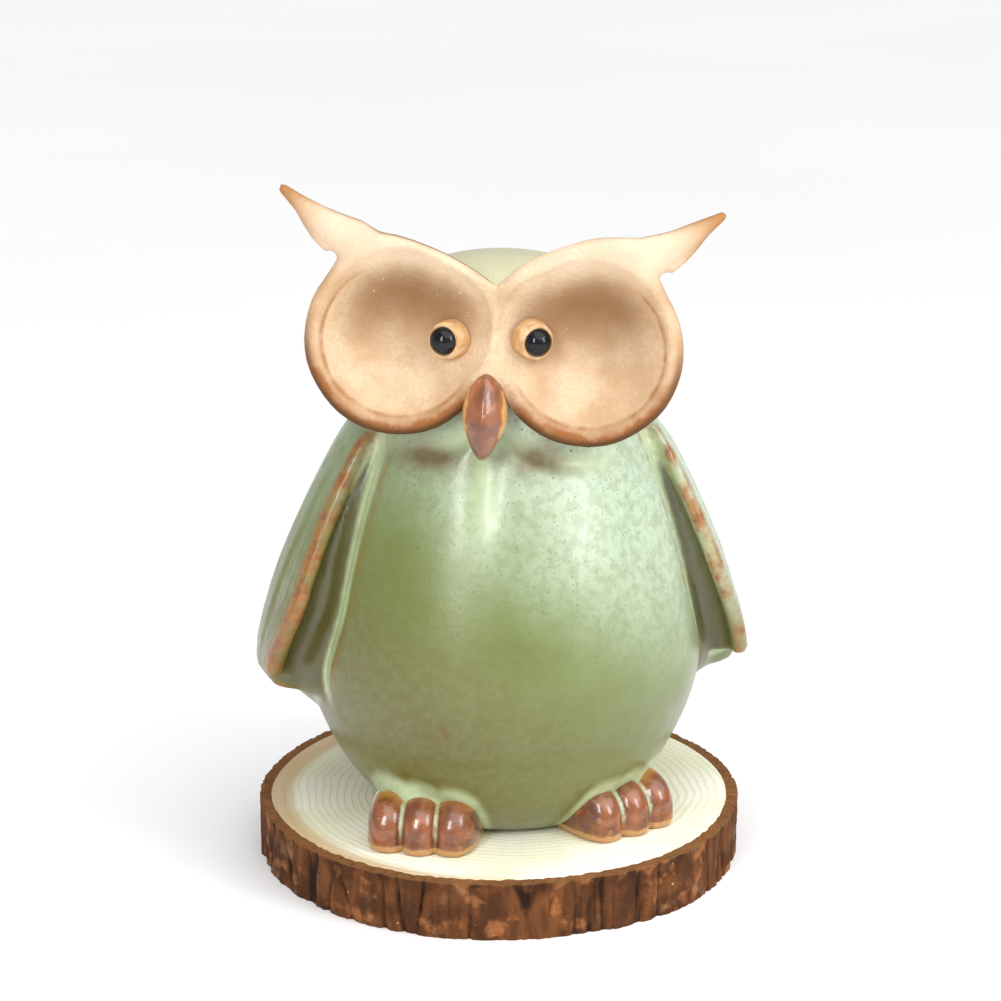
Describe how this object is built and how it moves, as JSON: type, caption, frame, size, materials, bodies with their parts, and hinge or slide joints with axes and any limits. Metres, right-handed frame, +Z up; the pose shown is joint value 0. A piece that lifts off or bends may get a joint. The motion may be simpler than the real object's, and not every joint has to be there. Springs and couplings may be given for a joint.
{
  "type": "owl figurine on a log slice",
  "caption": "Glazed stoneware owl with a dished bare-clay face, bead eyes, flared wings and toed feet, standing on a bark-edged slice of a log.",
  "frame": {"origin": "centre of the slice's underside", "axes": "+Z up, the owl faces -Y, its left wing is towards +X"},
  "size_m": [0.12, 0.123, 0.1696],
  "materials": {
    "sapwood": "sanded, unfinished end grain",
    "bark": "rough bark",
    "green_glaze": "satin celadon glaze breaking to brown on edges",
    "buff_clay": "bare, finely gritty",
    "brown_glaze": "gloss iron glaze",
    "black_glass": "opaque, polished"
  },
  "bodies": {
    "slice": {"wood_disc": "sapwood", "bark_ring": "bark"},
    "owl": {"body_shell": "green_glaze", "head_cap": "green_glaze", "wing_left": "green_glaze", "wing_right": "green_glaze", "face_mask": "buff_clay", "ear_tuft_left": "buff_clay", "ear_tuft_right": "buff_clay", "eye_collar_left": "buff_clay", "eye_collar_right": "buff_clay", "eye_bead_left": "black_glass", "eye_bead_right": "black_glass", "beak": "brown_glaze", "foot_left": "brown_glaze", "foot_right": "brown_glaze"}
  },
  "joints": [
    {"name": "owl_lift", "type": "slide", "parent": "slice", "child": "owl", "axis": [0, 0, 1], "range_m": [0, 0.05]}
  ]
}
